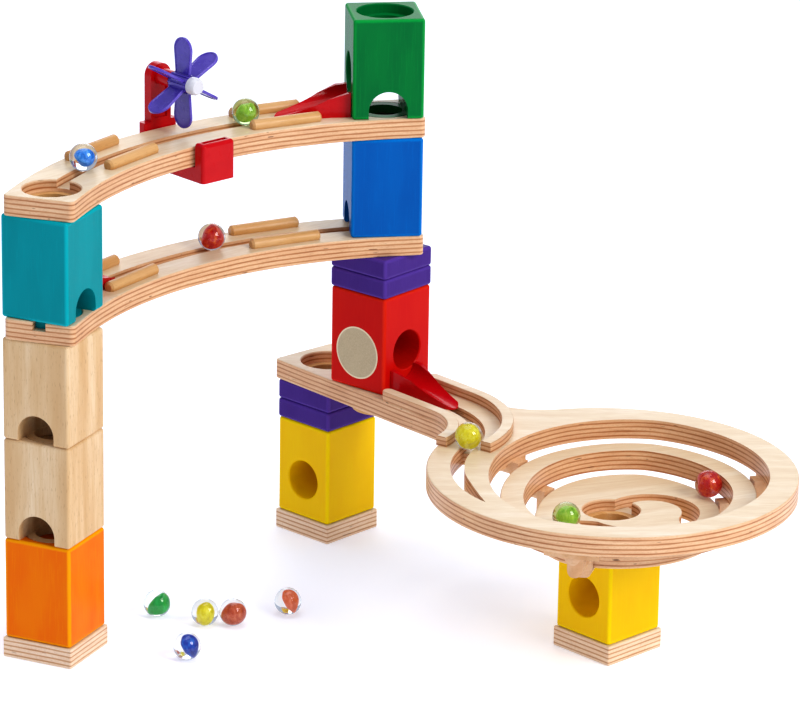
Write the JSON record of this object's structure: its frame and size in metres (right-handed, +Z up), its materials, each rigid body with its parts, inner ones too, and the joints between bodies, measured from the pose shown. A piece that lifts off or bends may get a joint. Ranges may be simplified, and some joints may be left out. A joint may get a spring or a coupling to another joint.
{
  "type": "marble run",
  "caption": "Wooden marble run: towers of coloured blocks carry curved grooved rails, a paddle wheel and a spiral plywood plate, with glass marbles on the run and on the floor.",
  "frame": {"origin": "centre of the underside of the left tower's base plate, on the floor", "axes": "+X along the set's longest extent, from the left tower to the spiral; +Y to the back; +Z up"},
  "size_m": [0.4509, 0.3208, 0.336],
  "materials": {
    "birch_plywood": "satin lacquered birch plywood with darker laminations on its edges",
    "natural_wood": "clear satin lacquered rubberwood",
    "orange_paint": "orange lacquered wood",
    "teal_paint": "teal lacquered wood",
    "yellow_paint": "yellow lacquered wood",
    "red_paint": "red lacquered wood",
    "blue_paint": "blue lacquered wood",
    "green_paint": "green lacquered wood",
    "purple_paint": "purple lacquered wood",
    "beige_board": "matt beige board",
    "red_plastic": "moulded red plastic",
    "violet_plastic": "moulded violet plastic",
    "white_plastic": "white plastic",
    "steel_pin": "steel pin",
    "blue_glass": "clear glass with a blue swirl",
    "green_glass": "clear glass with a green swirl",
    "red_glass": "clear glass with a red swirl",
    "yellow_glass": "clear glass with a yellow swirl"
  },
  "bodies": {
    "run": {"base_plate_left": "birch_plywood", "base_plate_middle": "birch_plywood", "base_plate_right": "birch_plywood", "orange_block": "orange_paint", "natural_block_lower": "natural_wood", "natural_block_upper": "natural_wood", "teal_block": "teal_paint", "yellow_block_middle": "yellow_paint", "yellow_block_right": "yellow_paint", "red_block": "red_paint", "sound_disc": "beige_board", "blue_block": "blue_paint", "green_block": "green_paint", "spacer_low_1": "purple_paint", "spacer_low_2": "purple_paint", "spacer_high_1": "purple_paint", "spacer_high_2": "purple_paint", "lower_rail": "birch_plywood", "lower_rail_collar_left": "natural_wood", "lower_rail_collar_right": "natural_wood", "upper_rail": "birch_plywood", "upper_rail_collar_left": "natural_wood", "upper_rail_collar_right": "natural_wood", "guide_lower_left_back": "natural_wood", "guide_lower_left_front": "natural_wood", "guide_lower_right_back": "natural_wood", "guide_lower_right_front": "natural_wood", "guide_upper_left_back": "natural_wood", "guide_upper_left_front": "natural_wood", "guide_upper_right_back": "natural_wood", "guide_upper_right_front": "natural_wood", "spiral_plate": "birch_plywood", "plate_collar_end": "natural_wood", "plate_collar_mid": "natural_wood", "fence_front": "birch_plywood", "fence_back": "birch_plywood", "spiral_middle": "birch_plywood", "centre_disc": "birch_plywood", "disc_collar": "natural_wood", "bracket_1": "natural_wood", "bracket_2": "natural_wood", "bracket_3": "natural_wood", "ramp_upper": "red_plastic", "ramp_lower": "red_plastic", "ramp_spiral": "red_plastic", "wheel_clamp": "red_plastic", "wheel_axle": "steel_pin", "wheel_cap": "white_plastic"},
    "paddle_wheel_body": {"paddle_wheel": "violet_plastic"},
    "marble_rail_blue_body": {"marble_rail_blue": "blue_glass"},
    "marble_rail_green_body": {"marble_rail_green": "green_glass"},
    "marble_rail_red_body": {"marble_rail_red": "red_glass"},
    "marble_slot_yellow_body": {"marble_slot_yellow": "yellow_glass"},
    "marble_turn_red_body": {"marble_turn_red": "red_glass"},
    "marble_disc_green_body": {"marble_disc_green": "green_glass"},
    "marble_loose_1_body": {"marble_loose_1": "green_glass"},
    "marble_loose_2_body": {"marble_loose_2": "green_glass"},
    "marble_loose_3_body": {"marble_loose_3": "yellow_glass"},
    "marble_loose_4_body": {"marble_loose_4": "red_glass"},
    "marble_loose_5_body": {"marble_loose_5": "blue_glass"}
  },
  "joints": [
    {"name": "wheel_spin", "type": "hinge", "parent": "run", "child": "paddle_wheel_body", "pos_m": [0.06861, 0.10832, 0.3068], "axis": [-0.6775, 0.7355, 0], "continuous": true},
    {"name": "marble_rail_blue_roll", "type": "hinge", "parent": "run", "child": "marble_rail_blue_body", "pos_m": [0.23643, -0.07387, 0.28298], "axis": [0, 0, 1], "range_deg": [-12, 3]},
    {"name": "marble_rail_green_roll", "type": "hinge", "parent": "run", "child": "marble_rail_green_body", "pos_m": [0.23643, -0.07387, 0.28298], "axis": [0, 0, 1], "range_deg": [-2, 1.2]},
    {"name": "marble_rail_red_roll", "type": "hinge", "parent": "run", "child": "marble_rail_red_body", "pos_m": [0.23643, -0.07387, 0.21098], "axis": [0, 0, 1], "range_deg": [-20, 15]},
    {"name": "marble_slot_yellow_roll", "type": "hinge", "parent": "run", "child": "marble_slot_yellow_body", "pos_m": [0.31601, 0.01919, 0.11498], "axis": [0, 0, 1], "range_deg": [-1, 38]},
    {"name": "marble_turn_red_roll", "type": "hinge", "parent": "run", "child": "marble_turn_red_body", "pos_m": [0.31601, 0.01919, 0.09205], "axis": [0, 0, 1], "range_deg": [-75, 45]},
    {"name": "marble_disc_green_roll", "type": "hinge", "parent": "run", "child": "marble_disc_green_body", "pos_m": [0.31601, 0.01919, 0.09205], "axis": [0, 0, 1], "range_deg": [-25, 60]},
    {"name": "marble_loose_1_roll", "type": "slide", "parent": "run", "child": "marble_loose_1_body", "axis": [0, 1, 0], "range_m": [-0.03, 0.03]},
    {"name": "marble_loose_2_roll", "type": "slide", "parent": "run", "child": "marble_loose_2_body", "axis": [0, 1, 0], "range_m": [-0.02, 0.03]},
    {"name": "marble_loose_3_roll", "type": "slide", "parent": "run", "child": "marble_loose_3_body", "axis": [0, 1, 0], "range_m": [-0.02, 0.03]},
    {"name": "marble_loose_4_roll", "type": "slide", "parent": "run", "child": "marble_loose_4_body", "axis": [1, 0, 0], "range_m": [-0.008, 0.03]},
    {"name": "marble_loose_5_roll", "type": "slide", "parent": "run", "child": "marble_loose_5_body", "axis": [1, 0, 0], "range_m": [-0.03, 0.03]}
  ]
}
